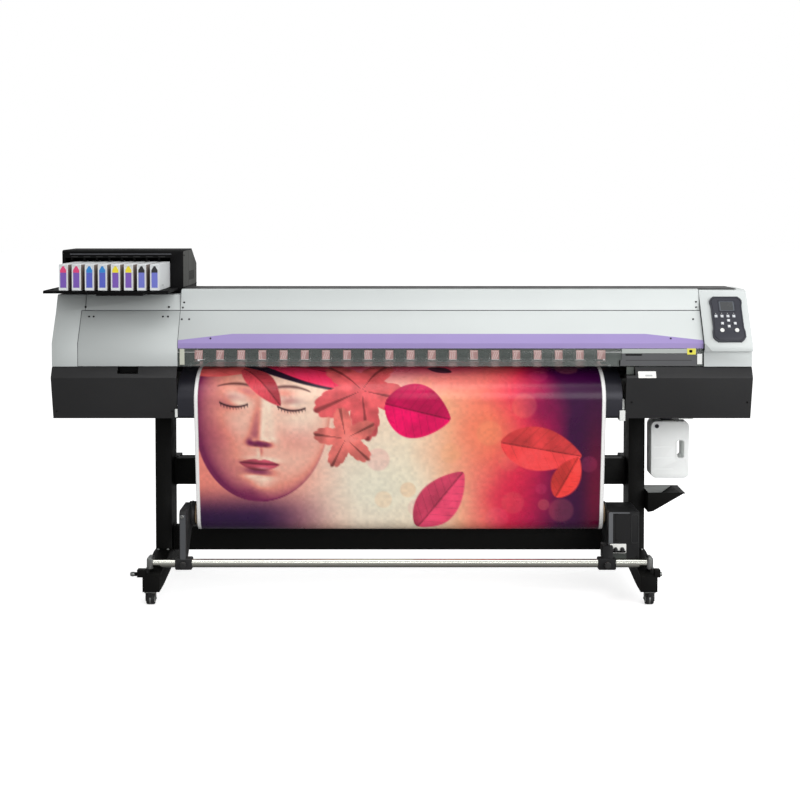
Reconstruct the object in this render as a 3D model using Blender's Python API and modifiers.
"""Wide roll-to-roll sign printer and sheet cutter on a wheeled stand.

Metres, +Z up. +X is the operator's right and -Y the operator's side. The origin is the
bottom centre of the whole machine, on the floor. Vinyl leaves the supply roll behind the
machine, runs over the rear guide, the feed roller, the platen and the front heater, and
hangs down to the take-up roll. The print carriage runs on a rail across the machine.
"""
import math

import bmesh
import bpy
from mathutils import Matrix, Vector

# ---- driving dimensions ------------------------------------------------------------
HALF_WIDTH = 1.3875          # overall width 2.775
HALF_DEPTH = 0.350           # overall depth 0.700
HEIGHT = 1.392
MEDIA_HALF = 0.8125          # 64 inch vinyl
MEDIA_THICK = 0.0006
GAP = 0.0003                 # between pieces that touch
SEAM = 0.0010                # visible joint line between two covers
WALL = 0.003

# casings: inner and outer ends along X
LEFT_END = -1.373
LEFT_SEAM = -0.877
RIGHT_SEAM = 1.197
LOWER_SEAM = 0.890
DOOR_LEFT = -1.2700

# heights and front lines of the casings, as (y, z)
CASE_BOTTOM = 0.9385
FRONT_Y = -0.280
BEND = (FRONT_Y, 1.030)
CREASE = (-0.205, 1.1545)
TOP_FRONT = (-0.176, 1.2346)
REAR_Y = 0.262
BAND = 0.0025                # sheet of the front cover and the door

# media path
PLATEN_TOP = 0.9185
PLATEN_THICK = 0.006
FEED_AXIS = (0.105, 0.9063)
FEED_RADIUS = 0.0122
HEATER_START = -0.112
HEATER_REACH = 0.173
HEATER_DROP = 0.1131
GUIDE_START = 0.1205
GUIDE_REACH = 0.150
GUIDE_DROP = 0.100
SUPPLY_AXIS = (0.235, 0.460)
SUPPLY_RADIUS = 0.075
TAKEUP_AXIS = (-0.160, 0.330)
TAKEUP_RADIUS = 0.0618
CORE_RADIUS = 0.043
CORE_BORE = 0.038
PINCH_PIVOT = (0.125, 0.965)
PINCH_UNITS = 19
PINCH_PITCH = 0.089
LEVER_PIVOT = (0.205, 0.900)

# stand
LEG_IN = 0.942
LEG_OUT = 1.008
FRAME_BOTTOM = 0.755
FRAME_TOP = 0.862
RAIL_AXIS = (-0.290, 0.1595)
RAIL_RADIUS = 0.01675
CASTER_X = 0.983
SWIVEL_Y = -0.315
TRAIL = 0.012
WHEEL_RADIUS = 0.024
WHEEL_WIDTH = 0.032
FORK_HALF = 0.0215
CHEEKS = (-0.0195, 0.0175)      # near side of each 2 mm cheek
AXLE_HALF = 0.0190

# waste ink bottle: corners as (x, z), depth along Y and neck as (x, y)
BOTTLE_LOW = (1.0217, 0.4638)
BOTTLE_HIGH = (1.1764, 0.6958)
BOTTLE_DEPTH = (-0.120, -0.020)
BOTTLE_NECK = (1.0887, -0.0725)

# ink station
CARTRIDGES = 8
CARTRIDGE_SIZE = (0.035, 0.365, 0.1034)
CARTRIDGE_PITCH = 0.0507
CARTRIDGE_LAST_X = -0.9714   # left side of the rightmost cartridge
CARTRIDGE_FRONT = -0.345
TRAY_TOP = 1.2395
BAY = (-1.362, -0.934)

# operator panel, on the sloping face of the right casing
SLOPE_LOW = (-0.298, 1.0238)
SLOPE_HIGH = (-0.1765, 1.2308)
PANEL_X = 1.298
PANEL_Z = 1.1199
PANEL_THICK = 0.010
POCKET_FLOOR = 0.0040
KEY_LOW = 0.0056
KEY_HIGH = 0.0112
KEY_GAP = 0.0005

PARTS = "roll_printer"


# ---- scene and materials -----------------------------------------------------------
def clear_scene():
    for obj in list(bpy.data.objects):
        bpy.data.objects.remove(obj)


def make_material(name, colour, roughness, metallic=0.0, alpha=1.0):
    material = bpy.data.materials.new(name)
    material.use_nodes = True
    shader = material.node_tree.nodes["Principled BSDF"]
    shader.inputs["Base Color"].default_value = (*colour, 1.0)
    shader.inputs["Roughness"].default_value = roughness
    shader.inputs["Metallic"].default_value = metallic
    shader.inputs["Alpha"].default_value = alpha
    return material


clear_scene()
collection = bpy.data.collections.new(PARTS)
bpy.context.scene.collection.children.link(collection)

LIGHT = make_material("light_casing", (0.72, 0.74, 0.73), 0.40)
BLACK = make_material("black_casing", (0.035, 0.035, 0.036), 0.50)
SLATE = make_material("slate_panel", (0.060, 0.062, 0.075), 0.45)
HEATER = make_material("heater_plate", (0.045, 0.045, 0.055), 0.45, 0.3)
STAND = make_material("stand_paint", (0.022, 0.023, 0.021), 0.45)
STEEL = make_material("steel", (0.55, 0.55, 0.56), 0.35, 1.0)
CHROME = make_material("chrome", (0.80, 0.80, 0.80), 0.12, 1.0)
CLEAR = make_material("clear_window", (0.30, 0.30, 0.32), 0.15, 0.0, 0.35)
CARTRIDGE = make_material("cartridge_plastic", (0.80, 0.80, 0.81), 0.40)
KEY = make_material("key_rubber", (0.40, 0.41, 0.44), 0.50)
BOTTLE = make_material("bottle_plastic", (0.75, 0.77, 0.76), 0.35, 0.0, 0.9)
VINYL = make_material("vinyl", (0.80, 0.45, 0.42), 0.35)
RUBBER = make_material("caster_rubber", (0.02, 0.02, 0.02), 0.70)


# ---- shape helpers -----------------------------------------------------------------
def add_object(name, mesh, material=None):
    obj = bpy.data.objects.new(name, mesh)
    collection.objects.link(obj)
    if material is not None:
        mesh.materials.clear()
        mesh.materials.append(material)
    return obj


def mesh_from(bm, name):
    bmesh.ops.recalc_face_normals(bm, faces=bm.faces)
    mesh = bpy.data.meshes.new(name)
    bm.to_mesh(mesh)
    bm.free()
    return mesh


def apply_modifiers(obj):
    bpy.context.view_layer.update()
    graph = bpy.context.evaluated_depsgraph_get()
    mesh = bpy.data.meshes.new_from_object(obj.evaluated_get(graph))
    obj.modifiers.clear()
    obj.data = mesh


def bevel(obj, width, segments=1):
    modifier = obj.modifiers.new("bevel", "BEVEL")
    modifier.width = width
    modifier.segments = segments
    modifier.limit_method = "ANGLE"
    apply_modifiers(obj)
    return obj


def block(name, low, high, material=None, edge=0.0):
    """Box between two corners, with chamfered edges where edge is given."""
    bm = bmesh.new()
    bmesh.ops.create_cube(bm, size=1.0)
    size = [h - l for l, h in zip(low, high)]
    centre = [(h + l) / 2 for l, h in zip(low, high)]
    bmesh.ops.transform(bm, matrix=Matrix.Translation(centre) @ Matrix.Diagonal((*size, 1.0)),
                        verts=bm.verts)
    obj = add_object(name, mesh_from(bm, name), material)
    return bevel(obj, edge) if edge else obj


AXES = {
    "X": Matrix(((0, 0, 1), (1, 0, 0), (0, 1, 0))).to_4x4(),
    "Y": Matrix(((1, 0, 0), (0, 0, -1), (0, 1, 0))).to_4x4(),
    "Z": Matrix.Identity(4),
}


def rod(name, start, end, radius, material=None, segments=16):
    start, end = Vector(start), Vector(end)
    bm = bmesh.new()
    turn = (end - start).to_track_quat("Z", "Y").to_matrix().to_4x4()
    bmesh.ops.create_cone(bm, cap_ends=True, segments=segments, radius1=radius, radius2=radius,
                          depth=(end - start).length,
                          matrix=Matrix.Translation((start + end) / 2) @ turn)
    return add_object(name, mesh_from(bm, name), material)


def extrude(name, outline, axis, low, high, material=None):
    """Flat outline, in the two axes across the named one, made solid from low to high."""
    curve = bpy.data.curves.new(name, "CURVE")
    curve.dimensions = "2D"
    curve.fill_mode = "BOTH"
    curve.extrude = abs(high - low) / 2
    spline = curve.splines.new("POLY")
    spline.points.add(len(outline) - 1)
    for point, (u, v) in zip(spline.points, outline):
        point.co = (u, v, 0.0, 1.0)
    spline.use_cyclic_u = True
    drawn = bpy.data.objects.new(name + "_outline", curve)
    collection.objects.link(drawn)
    bpy.context.view_layer.update()
    graph = bpy.context.evaluated_depsgraph_get()
    mesh = bpy.data.meshes.new_from_object(drawn.evaluated_get(graph))
    bpy.data.objects.remove(drawn)
    bm = bmesh.new()
    bm.from_mesh(mesh)
    bmesh.ops.remove_doubles(bm, verts=bm.verts, dist=1e-6)
    middle = (low + high) / 2 * (-1.0 if axis == "Y" else 1.0)
    bmesh.ops.transform(bm, matrix=AXES[axis] @ Matrix.Translation((0, 0, middle)), verts=bm.verts)
    return add_object(name, mesh_from(bm, name), material)


def turned(name, profile, centre, material=None, steps=24):
    """Closed profile of (radius, x) points turned about an X axis through centre (y, z)."""
    bm = bmesh.new()
    corners = [bm.verts.new((radius, 0.0, along)) for radius, along in profile]
    for i, corner in enumerate(corners):
        bm.edges.new((corner, corners[(i + 1) % len(corners)]))
    mesh = bpy.data.meshes.new(name)
    bm.to_mesh(mesh)
    bm.free()
    obj = add_object(name, mesh)
    screw = obj.modifiers.new("turn", "SCREW")
    screw.steps = screw.render_steps = steps
    screw.use_merge_vertices = True
    screw.merge_threshold = 1e-5
    apply_modifiers(obj)
    bm = bmesh.new()
    bm.from_mesh(obj.data)
    bmesh.ops.transform(bm, matrix=Matrix.Translation((0, *centre)) @ AXES["X"], verts=bm.verts)
    bpy.data.objects.remove(obj)
    return add_object(name, mesh_from(bm, name), material)


def combine(target, tools, operation):
    for tool in tools:
        modifier = target.modifiers.new("combine", "BOOLEAN")
        modifier.operation = operation
        modifier.object = tool
        apply_modifiers(target)
        bpy.data.objects.remove(tool)
    return target


def join(target, *tools):
    return combine(target, tools, "UNION")


def cut(target, *tools):
    return combine(target, tools, "DIFFERENCE")


def paint(obj, material):
    obj.data.materials.clear()
    obj.data.materials.append(material)
    return obj


def pivot(obj, origin):
    """Move the object's origin to its joint's axis, leaving its shape in place."""
    obj.data.transform(Matrix.Translation(-Vector(origin)))
    obj.location = origin
    return obj


def offset(path, distance, closed=False):
    """Shift a path sideways, to the right of its direction of travel, with mitred corners."""
    points = [Vector(point) for point in path]
    moved = []
    for i, point in enumerate(points):
        legs = []
        if closed or i > 0:
            legs.append(point - points[i - 1])
        if closed or i < len(points) - 1:
            legs.append(points[(i + 1) % len(points)] - point)
        sides = [Vector((leg.y, -leg.x)).normalized() for leg in legs]
        mean = sum(sides, Vector((0.0, 0.0))) / len(sides)
        moved.append(point + mean * (distance / mean.length_squared))
    return [tuple(point) for point in moved]


def sheet(name, path, low, high, thickness, material):
    """Bent sheet that follows a (y, z) path along X; its thickness grows to the inside."""
    outline = list(path) + offset(path, thickness)[::-1]
    return extrude(name, outline, "X", low, high, material)


def opened(outline, open_z, reach):
    """Outline whose edge at the height open_z moves out along the walls that end there."""
    points = []
    for i, (y, z) in enumerate(outline):
        if z == open_z:
            before, after = outline[i - 1], outline[(i + 1) % len(outline)]
            wall_y, wall_z = after if before[1] == open_z else before
            part = (open_z + reach - wall_z) / (open_z - wall_z)
            y, z = wall_y + part * (y - wall_y), open_z + reach
        points.append((y, z))
    return points


def casing(name, outline, outer_end, inner_end, open_z, material):
    """Hollow casing with one end wall, open at its inner end and along the height open_z."""
    body = extrude(name, outline, "X", outer_end, inner_end, material)
    beyond = -0.02 if open_z == min(z for _, z in outline) else 0.02
    hollow = offset(opened(outline, open_z, beyond), WALL, closed=True)
    inward = math.copysign(1.0, inner_end - outer_end)
    inner = extrude("hollow", hollow, "X", outer_end + inward * WALL, inner_end + inward * 0.02)
    return paint(cut(body, inner), material)


def tube(name, low, high, wall, material=None):
    """Rectangular tube along X, open at both ends."""
    outer = block(name, low, high)
    inner = block("hollow", (low[0] - 0.01, low[1] + wall, low[2] + wall),
                  (high[0] + 0.01, high[1] - wall, high[2] - wall))
    cut(outer, inner)
    return paint(outer, material) if material else outer


def arc(centre, radius, start, end, count):
    """Points on a circle from one angle to another, in degrees."""
    angles = [math.radians(start + (end - start) * i / (count - 1)) for i in range(count)]
    return [(centre[0] + radius * math.cos(a), centre[1] + radius * math.sin(a)) for a in angles]


def rounded_box(low, high, radius, count=4):
    """Outline of a rectangle with round corners."""
    corners = ((high[0] - radius, high[1] - radius, 0), (low[0] + radius, high[1] - radius, 90),
               (low[0] + radius, low[1] + radius, 180), (high[0] - radius, low[1] + radius, 270))
    points = []
    for u, v, start in corners:
        points += arc((u, v), radius, start, start + 90, count)
    return points


def quarter(start_y, start_z, reach, drop, count):
    """Quarter of an ellipse that leaves a level surface and turns down; reach is signed."""
    angles = [math.pi / 2 * i / (count - 1) for i in range(count)]
    return [(start_y + reach * math.sin(a), start_z - drop * (1 - math.cos(a))) for a in angles]


def tangent_angle(centre, radius, point, side):
    """Angle on a circle where a line from the point touches it, in degrees."""
    away = Vector(point) - Vector(centre)
    heading = math.degrees(math.atan2(away.y, away.x))
    return heading + side * math.degrees(math.acos(radius / away.length))


# ---- upper casings and covers ------------------------------------------------------
def make_left_casing():
    outline = [(FRONT_Y, CASE_BOTTOM), BEND, CREASE, (-0.176, 1.2160), (0.200, 1.2160),
               (REAR_Y, 1.100), (REAR_Y, CASE_BOTTOM)]
    body = casing("left_upper_cover", outline, LEFT_END, LEFT_SEAM - SEAM / 2, CASE_BOTTOM, LIGHT)
    doorway = [(-0.320, 0.920), (-0.320, CREASE[1] + 0.0005), (-0.198, CREASE[1] + 0.0005),
               (-0.273, BEND[1]), (-0.273, 0.920)]
    cut(body, extrude("doorway", doorway, "X", DOOR_LEFT - SEAM, LEFT_SEAM + 0.01))
    paint(body, LIGHT)
    path = [(FRONT_Y, CASE_BOTTOM + SEAM), BEND, (CREASE[0] - 0.0006, CREASE[1] - 0.0010)]
    door = sheet("left_maintenance_door", path, DOOR_LEFT, LEFT_SEAM - SEAM / 2, BAND, LIGHT)
    pivot(door, (0.0, *CREASE))


def make_front_cover():
    low, high = LEFT_SEAM + SEAM / 2, RIGHT_SEAM - SEAM / 2
    path = [(FRONT_Y, 1.0101), BEND, (CREASE[0] - 0.0006, CREASE[1] - 0.0010)]
    pivot(sheet("front_cover", path, low, high, BAND, LIGHT), (0.0, *CREASE))
    face = FRONT_Y + BAND + GAP
    window = block("front_window", (low, face, 0.9390), (high, face + 0.003, 1.0180), CLEAR)
    pivot(window, (0.0, *CREASE))
    strip = [(CREASE[0] + 0.0003, CREASE[1] + 0.0008), TOP_FRONT, (-0.160, 1.2390)]
    sheet("top_front_panel", strip, low, high, WALL, LIGHT)


def make_top_cover():
    path = [(-0.159, 1.2390), (0.030, 1.2390), (0.200, 1.150), (REAR_Y, 1.050),
            (REAR_Y, CASE_BOTTOM)]
    sheet("top_cover", path, LEFT_SEAM + SEAM / 2, 1.352, 0.002, BLACK)


def make_right_casing():
    outline = [(-0.284, CASE_BOTTOM), (-0.284, 1.000), (-0.298, 1.000), SLOPE_LOW, SLOPE_HIGH,
               (-0.150, 1.2362), (0.027, 1.2362), (0.1955, 1.1480), (0.2585, 1.046),
               (0.2585, CASE_BOTTOM)]
    casing("right_upper_cover", outline, HALF_WIDTH, RIGHT_SEAM + SEAM / 2, CASE_BOTTOM, LIGHT)


def lower_casing(name, outer_end, inner_end):
    outline = [(-0.265, 0.731), (-0.302, 0.896), (FRONT_Y, CASE_BOTTOM - 0.0015),
               (REAR_Y, CASE_BOTTOM - 0.0015), (REAR_Y, 0.800), (0.200, 0.731)]
    body = casing(name, outline, outer_end, inner_end, CASE_BOTTOM - 0.0015, BLACK)
    side = math.copysign(1.0, outer_end)
    low, high = sorted((side * (LEG_IN - 0.008), side * (LEG_OUT + 0.008)))
    return cut(body, block("column_hole", (low, -0.062, 0.70), (high, 0.092, 0.75)))


def make_lower_casings():
    left = lower_casing("left_lower_cover", LEFT_END, -0.879)
    cut(left, block("hand_recess", (-1.113, -0.320, 0.9112), (-1.032, -0.262, 0.950)))
    paint(left, BLACK)
    right = lower_casing("right_lower_cover", HALF_WIDTH, LOWER_SEAM)
    cut(right, block("notch", (0.880, -0.320, 0.905), (0.926, -0.262, 0.950)))
    neck_x = BOTTLE_NECK[0]
    fork = [block("fork", (neck_x + side, -0.105, 0.706), (neck_x + side + 0.006, -0.040, 0.733))
            for side in (-0.028, 0.022)]
    paint(join(right, *fork), BLACK)


# ---- base frame, media path and carriage -------------------------------------------
def make_base_frame():
    frame = block("base_frame", (-1.345, -0.050, FRAME_BOTTOM), (1.345, 0.200, FRAME_TOP))
    plates = []
    for side in (-1.0, 1.0):
        low, high = sorted((side * 1.300, side * 1.304))
        plates.append(block("end_plate", (low, -0.050, FRAME_BOTTOM), (high, 0.170, 1.130)))
    join(frame, *plates)
    cut(frame, block("hollow", (-1.40, -0.047, FRAME_BOTTOM + WALL), (1.40, 0.197, FRAME_TOP - WALL)))
    under_platen = PLATEN_TOP - PLATEN_THICK - GAP
    ribs = [block("rib", (x - 0.010, -0.045, FRAME_TOP - 0.001), (x + 0.010, 0.080, under_platen))
            for x in (-0.80, -0.40, 0.0, 0.40, 0.80)]
    station = block("capping_station", (1.000, -0.049, FRAME_TOP - 0.001), (1.260, 0.040, 0.912))
    spit_tray = block("spit_tray", (-1.200, -0.049, FRAME_TOP - 0.001), (-0.960, 0.040, 0.900))
    paint(join(frame, *ribs, station, spit_tray), STEEL)


def heater_path():
    return quarter(HEATER_START, PLATEN_TOP, -HEATER_REACH, HEATER_DROP, 11) + [(-0.279, 0.740)]


def guide_path():
    return quarter(GUIDE_START, PLATEN_TOP, GUIDE_REACH, GUIDE_DROP, 9) + [(0.2700, 0.760)]


def make_media_supports():
    block("platen", (-0.870, -0.1105, PLATEN_TOP - PLATEN_THICK), (0.870, 0.090, PLATEN_TOP), STEEL)
    front = heater_path()[::-1]
    sheet("post_heater", [(-0.262, 0.7313)] + front, -0.8775, 0.8775, 0.002, HEATER)
    sheet("pre_heater", guide_path(), -0.850, 0.850, 0.002, HEATER)
    y, z = FEED_AXIS
    pivot(rod("feed_roller", (-0.845, y, z), (0.845, y, z), FEED_RADIUS, STEEL, 20), (0.0, y, z))


def make_pinch_bar():
    bar = block("pinch_roller_bar", (-0.845, 0.085, 0.955), (0.845, 0.125, 0.975))
    fingers = []
    for i in range(PINCH_UNITS):
        x = (i - (PINCH_UNITS - 1) / 2) * PINCH_PITCH
        fingers.append(block("finger", (x - 0.020, 0.090, 0.9225), (x + 0.020, 0.118, 0.956)))
    pivot(paint(join(bar, *fingers), SLATE), (0.0, *PINCH_PIVOT))
    y, z = LEVER_PIVOT
    outline = [(y - 0.012, z - 0.012), (y - 0.012, z + 0.012), (y + 0.012, z + 0.012),
               (y + 0.115, z + 0.002), (y + 0.115, z - 0.016)]
    lever = extrude("clamp_lever", outline, "X", 0.856, 0.872, BLACK)
    pivot(lever, (0.864, y, z))


def make_carriage():
    tube("guide_rail", (-1.2995, 0.055, 1.010), (1.2995, 0.120, 1.100), WALL, STEEL)
    outline = [(-0.130, 0.925), (-0.130, 1.040), (-0.090, 1.115), (0.045, 1.115), (0.045, 0.925)]
    carriage = extrude("carriage", outline, "X", 0.990, 1.270)
    cut(carriage, block("hollow", (0.994, -0.100, 0.940), (1.266, 0.060, 1.095)))
    paint(carriage, BLACK)
    unit = block("cutter_unit", (0.9560, -0.100, 0.950), (0.9897, -0.055, 1.010))
    blade = block("blade", (0.9700, -0.079, 0.942), (0.9760, -0.076, 0.951))
    paint(join(unit, blade), BLACK)


def media_path():
    """Top surface of the vinyl, from the supply roll to the take-up roll."""
    lift = MEDIA_THICK + 2 * GAP
    guide = offset(guide_path()[:-1], -lift)[::-1]
    heater = offset(heater_path(), lift)
    supply = SUPPLY_RADIUS + lift
    leave = tangent_angle(SUPPLY_AXIS, supply, guide[0], -1)
    takeup = TAKEUP_RADIUS + lift
    reach = tangent_angle(TAKEUP_AXIS, takeup, heater[-1], 1)
    return (arc(SUPPLY_AXIS, supply, -60, leave, 7) + guide[:-1]
            + [(GUIDE_START, PLATEN_TOP + lift), (HEATER_START, PLATEN_TOP + lift)] + heater[1:]
            + arc(TAKEUP_AXIS, takeup, reach, 300, 9))


def make_rolls():
    path = media_path()
    inner = offset(path, -MEDIA_THICK)
    extrude("media_sheet", path + inner[::-1], "X", -MEDIA_HALF, MEDIA_HALF, VINYL)
    for name, axis, radius, end in (("supply_roll", SUPPLY_AXIS, SUPPLY_RADIUS, 0.835),
                                    ("take_up_roll", TAKEUP_AXIS, TAKEUP_RADIUS, 0.823)):
        profile = [(CORE_BORE, -end), (CORE_RADIUS, -end), (CORE_RADIUS, -MEDIA_HALF),
                   (radius, -MEDIA_HALF), (radius, MEDIA_HALF), (CORE_RADIUS, MEDIA_HALF),
                   (CORE_RADIUS, end), (CORE_BORE, end)]
        pivot(turned(name, profile, axis, VINYL, 32), (0.0, *axis))


# ---- ink station -------------------------------------------------------------------
def make_ink_station():
    outline = [(-0.095, 1.2168), (-0.095, 1.386), (-0.085, HEIGHT), (0.138, HEIGHT), (0.275, 1.326),
               (0.275, 1.2168)]
    housing = extrude("ink_station_housing", outline, "X", -1.374, -0.883)
    inner = [(-0.080, 1.2200), (-0.080, HEIGHT - WALL), (0.136, HEIGHT - WALL), (0.271, 1.3235),
             (0.271, 1.2200)]
    cut(housing, extrude("hollow", inner, "X", -1.371, -0.886),
        block("bay", (BAY[0], -0.110, 1.2305), (BAY[1], -0.070, 1.3600)))
    paint(housing, BLACK)
    tray = block("cartridge_tray", (-HALF_WIDTH, -HALF_DEPTH, 1.2310), (-0.900, -0.0955, TRAY_TOP))
    floor = block("floor", (BAY[0] + 0.001, -0.100, 1.2310), (BAY[1] - 0.001, 0.200, TRAY_TOP))
    lip = block("lip", (-1.181, -0.348, 1.2220), (-1.000, -0.250, 1.2320))
    paint(join(tray, floor, lip), BLACK)
    width, length, height = CARTRIDGE_SIZE
    for i in range(CARTRIDGES):
        left = CARTRIDGE_LAST_X - (CARTRIDGES - 1 - i) * CARTRIDGE_PITCH
        low = (left, CARTRIDGE_FRONT, 1.2414)
        high = (left + width, CARTRIDGE_FRONT + length, 1.2414 + height)
        name = "ink_cartridge_%d" % (i + 1)
        pivot(block(name, low, high, CARTRIDGE, 0.0015), (left + width / 2, CARTRIDGE_FRONT, 1.2414))


# ---- operator panel ----------------------------------------------------------------
def panel_frame():
    """Matrix of the panel: local X across, Y up the slope, Z out of the casing."""
    slope = Vector((0.0, SLOPE_HIGH[0] - SLOPE_LOW[0], SLOPE_HIGH[1] - SLOPE_LOW[1])).normalized()
    normal = Vector((1.0, 0.0, 0.0)).cross(slope)
    part = (PANEL_Z - SLOPE_LOW[1]) / (SLOPE_HIGH[1] - SLOPE_LOW[1])
    y = SLOPE_LOW[0] + part * (SLOPE_HIGH[0] - SLOPE_LOW[0])
    turn = Matrix((Vector((1.0, 0.0, 0.0)), slope, normal)).transposed().to_4x4()
    return Matrix.Translation((PANEL_X, y, PANEL_Z)) @ turn


def panel_outline():
    """Waisted outline with cut corners."""
    half = [(0.0490, 0.0985), (0.0590, 0.0900), (0.0640, 0.0815), (0.0640, 0.0700), (0.0608, 0.0550),
            (0.0608, -0.0400), (0.0645, -0.0540), (0.0645, -0.0790), (0.0580, -0.0890), (0.0460, -0.0990)]
    return half + [(-u, v) for u, v in half[::-1]]


def key_shapes():
    """Key name, kind, centre across, centre up the slope and half size or radius."""
    keys = [("function_key_%d" % (i + 1), "square", -0.0454 + 0.0236 * i, 0.0115, 0.0056)
            for i in range(4)]
    arrows = (("up", 0.0, 0.0126), ("down", 0.0, -0.0126),
              ("left", -0.0252, 0.0), ("right", 0.0252, 0.0))
    keys += [(name + "_arrow_key", "square", 0.0020 + u, -0.0199 + v, 0.0056) for name, u, v in arrows]
    keys += [(name, "round", 0.0020 + u, -0.0498, 0.0085) for name, u in (("end_key", -0.0291),
                                                                         ("enter_key", 0.0291))]
    return keys


def key_solid(name, kind, u, v, size, low, high):
    if kind == "round":
        return rod(name, (u, v, low), (u, v, high), size)
    return block(name, (u - size, v - size, low), (u + size, v + size, high))


def make_panel():
    place = panel_frame()
    panel = extrude("control_panel", panel_outline(), "Z", GAP, PANEL_THICK)
    for name, kind, u, v, size in key_shapes():
        cut(panel, key_solid("pocket", kind, u, v, size + KEY_GAP, POCKET_FLOOR, PANEL_THICK + 0.01))
        key = paint(key_solid(name, kind, u, v, size, KEY_LOW, KEY_HIGH), KEY)
        key.data.transform(Matrix.Translation((-u, -v, 0.0)))
        key.matrix_world = place @ Matrix.Translation((u, v, 0.0))
    cut(panel, block("screen_recess", (-0.032, 0.0310, PANEL_THICK - 0.0015),
                     (0.036, 0.0810, PANEL_THICK + 0.01)))
    paint(panel, SLATE).matrix_world = place


# ---- stand -------------------------------------------------------------------------
def foot_outline():
    front = [(-0.250, 0.062), (-HALF_DEPTH, 0.060), (-HALF_DEPTH, 0.118), (-0.335, 0.125),
             (-0.100, 0.158)]
    rear = [(-y, z) for y, z in front[::-1]]
    return front + rear + [(0.080, 0.083), (-0.050, 0.083)]


def make_leg(name, side):
    def span(a, b):
        return sorted((side * a, side * b))

    x_low, x_high = span(LEG_IN, LEG_OUT)
    leg = extrude(name, foot_outline(), "X", x_low, x_high)
    cut(leg, block("foot_hollow", (x_low + WALL, -0.240, 0.040), (x_high - WALL, 0.240, 0.120)))
    column = block("column", (x_low, -0.050, 0.150), (x_high, 0.080, FRAME_BOTTOM - GAP))
    hollow = block("hollow", (x_low + WALL, -0.047, 0.170), (x_high - WALL, 0.077, 0.80))
    join(leg, cut(column, hollow))
    x_low, x_high = span(LEG_IN + 0.006, LEG_OUT - 0.028)
    y, z = SUPPLY_AXIS
    x_end, x_root = span(0.800, LEG_IN + 0.010)
    join(leg, block("roll_arm", (x_low, 0.070, z - 0.038), (x_high, y + 0.038, z + 0.038)),
         rod("spigot", (x_end, y, z), (x_root, y, z), 0.034, None, 20))
    x_low, x_high = span(LEG_OUT - 0.010, 1.050 if side < 0 else 1.020)
    join(leg, block("leveller", (x_low, -0.336, 0.120), (x_high, -0.324, 0.133)))
    x_low, x_high = span(LEG_OUT - 0.010, 1.030 if side < 0 else 1.020)
    join(leg, block("leveller_boss", (x_low, -0.345, 0.117), (x_high, -0.315, 0.146)))
    wheel_y = -SWIVEL_Y
    forks = [block("rear_fork_top", (side * CASTER_X - FORK_HALF, wheel_y - 0.016, 0.0505),
                   (side * CASTER_X + FORK_HALF, wheel_y + 0.016, 0.0640))]
    for cheek in CHEEKS:
        forks.append(block("cheek", (side * CASTER_X + cheek, wheel_y - 0.012, 0.016),
                           (side * CASTER_X + cheek + 0.002, wheel_y + 0.012, 0.0510)))
    forks.append(rod("axle", (side * CASTER_X - AXLE_HALF, wheel_y, WHEEL_RADIUS),
                     (side * CASTER_X + AXLE_HALF, wheel_y, WHEEL_RADIUS), 0.003, None, 8))
    paint(join(leg, *forks), STAND)


def make_wheel(name, x, y):
    half = WHEEL_WIDTH / 2
    profile = [(0.0036, x - half), (WHEEL_RADIUS - 0.002, x - half), (WHEEL_RADIUS, x - half + 0.003),
               (WHEEL_RADIUS, x + half - 0.003), (WHEEL_RADIUS - 0.002, x + half), (0.0036, x + half)]
    pivot(turned(name, profile, (y, WHEEL_RADIUS), RUBBER, 24), (x, y, WHEEL_RADIUS))


def make_casters():
    for label, side in (("left", -1.0), ("right", 1.0)):
        x = side * CASTER_X
        y = SWIVEL_Y + TRAIL
        fork = block(label + "_front_caster_fork", (x - FORK_HALF, SWIVEL_Y - 0.016, 0.0505),
                     (x + FORK_HALF, y + 0.012, 0.0550))
        pieces = [rod("stem", (x, SWIVEL_Y, 0.0545), (x, SWIVEL_Y, 0.0597), 0.010, None, 12)]
        for cheek in CHEEKS:
            pieces.append(block("cheek", (x + cheek, SWIVEL_Y - 0.004, 0.016),
                                (x + cheek + 0.002, y + 0.010, 0.0510)))
        pieces.append(rod("axle", (x - AXLE_HALF, y, WHEEL_RADIUS), (x + AXLE_HALF, y, WHEEL_RADIUS),
                          0.003, None, 8))
        pivot(paint(join(fork, *pieces), STEEL), (x, SWIVEL_Y, 0.055))
        make_wheel(label + "_front_wheel", x, y)
        make_wheel(label + "_rear_wheel", x, -SWIVEL_Y)


def make_beams():
    inside = LEG_IN - GAP
    tube("mid_cross_beam", (-inside, 0.020, 0.4100), (inside, 0.070, 0.5186), WALL, STAND)
    tube("lower_cross_beam", (-inside, -0.030, 0.1474), (inside, 0.030, 0.2430), WALL, STAND)


# ---- take-up unit ------------------------------------------------------------------
def clamp_on_rail(low, high):
    """Block round the rail, bored to slide along it."""
    y, z = RAIL_AXIS
    body = block("clamp", (low, y - 0.023, z - 0.0225), (high, y + 0.023, z + 0.0225), None, 0.004)
    return cut(body, rod("bore", (low - 0.01, y, z), (high + 0.01, y, z), RAIL_RADIUS + 0.0006,
                         None, 24))


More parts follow.
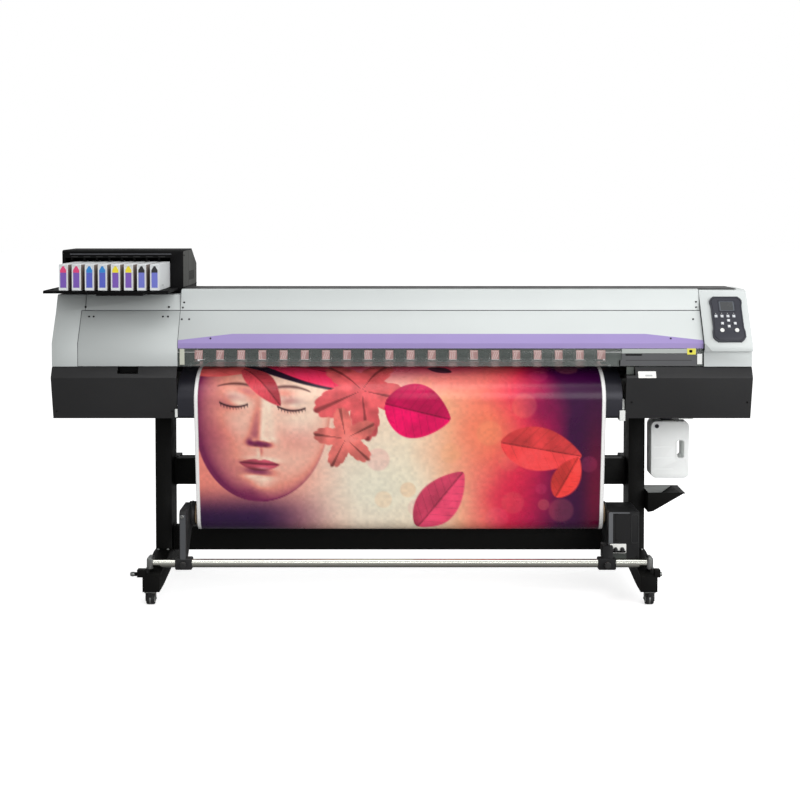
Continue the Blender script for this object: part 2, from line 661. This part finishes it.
def make_take_up():
    y, z = RAIL_AXIS
    rail = rod("take_up_rail", (-0.990, y, z), (0.990, y, z), RAIL_RADIUS, None, 24)
    ends = []
    for side in (-1.0, 1.0):
        low, high = sorted((side * 0.974, side * 0.9976))
        ends.append(block("rail_end", (low, y - 0.028, 0.1366), (high, y + 0.028, 0.188), None, 0.006))
    paint(join(rail, *ends), CHROME)

    roll_y, roll_z = TAKEUP_AXIS
    arm_outline = [(-0.312, 0.178), (-0.312, 0.360), (-0.300, 0.372), (-0.150, 0.372), (-0.118, 0.345),
                   (-0.118, 0.300), (-0.262, 0.178)]
    arm = extrude("take_up_holder", arm_outline, "X", -0.869, -0.842)
    spigot = rod("spigot", (-0.850, roll_y, roll_z), (-0.795, roll_y, roll_z), 0.035, None, 20)
    flange = rod("flange", (-0.850, roll_y, roll_z), (-0.826, roll_y, roll_z), 0.048, None, 20)
    join(arm, flange, spigot, clamp_on_rail(-0.887, -0.820))
    pivot(paint(arm, BLACK), (-0.8535, y, z))

    box = block("take_up_motor_box", (0.826, -0.280, 0.1726), (0.948, -0.100, 0.3622), None, 0.004)
    cut(box, block("hollow", (0.829, -0.277, 0.1756), (0.945, -0.090, 0.3592)))
    drive = rod("drive", (0.795, roll_y, roll_z), (0.828, roll_y, roll_z), 0.035, None, 20)
    neck = block("neck", (0.800, -0.306, 0.178), (0.840, -0.240, 0.230))
    plate = block("switch_plate", (0.8300, -0.2825, 0.1963), (0.8970, -0.2795, 0.2358))
    join(box, drive, neck, plate, clamp_on_rail(0.781, 0.852))
    paint(box, BLACK)
    for name, x in (("take_up_direction_switch", 0.853), ("take_up_mode_switch", 0.880)):
        knob = rod(name, (x, -0.2828, 0.213), (x, -0.2900, 0.213), 0.0085, None, 16)
        bar = block("grip", (x - 0.0025, -0.2960, 0.2055), (x + 0.0025, -0.2890, 0.2205))
        pivot(paint(join(knob, bar), BLACK), (x, -0.2830, 0.213))


# ---- waste ink ---------------------------------------------------------------------
def make_waste_ink():
    outline = rounded_box(BOTTLE_LOW, BOTTLE_HIGH, 0.020)
    bottle = extrude("waste_ink_bottle", outline, "Y", *BOTTLE_DEPTH)
    bevel(bottle, 0.006, 2)
    x, y = BOTTLE_NECK
    join(bottle, rod("neck", (x, y, 0.690), (x, y, 0.7290), 0.019, None, 20))
    handle = rounded_box((1.1275, 0.5452), (1.1560, 0.6184), 0.010)
    inside = rounded_box((1.0260, 0.4690), (1.1220, 0.6915), 0.016)
    cut(bottle, extrude("handle_hole", handle, "Y", -0.140, 0.0),
        extrude("hollow", inside, "Y", -0.1165, -0.0235),
        rod("mouth", (x, y, 0.680), (x, y, 0.740), 0.012, None, 16))
    pivot(paint(bottle, BOTTLE), (x, y, 0.580))
    outline = [(1.0083, 0.3260), (1.0300, 0.3300), (1.1600, 0.4057), (1.0083, 0.4057)]
    inner = [(1.0110, 0.3300), (1.0290, 0.3328), (1.1520, 0.4200), (1.0110, 0.4200)]
    tray = extrude("drip_tray", outline, "Y", -0.130, 0.020)
    paint(cut(tray, extrude("hollow", inner, "Y", -0.1275, 0.0175)), STAND)


def main():
    make_left_casing()
    make_front_cover()
    make_top_cover()
    make_right_casing()
    make_lower_casings()
    make_base_frame()
    make_media_supports()
    make_pinch_bar()
    make_carriage()
    make_rolls()
    make_ink_station()
    make_panel()
    make_leg("left_leg", -1.0)
    make_leg("right_leg", 1.0)
    make_casters()
    make_beams()
    make_take_up()
    make_waste_ink()


main()
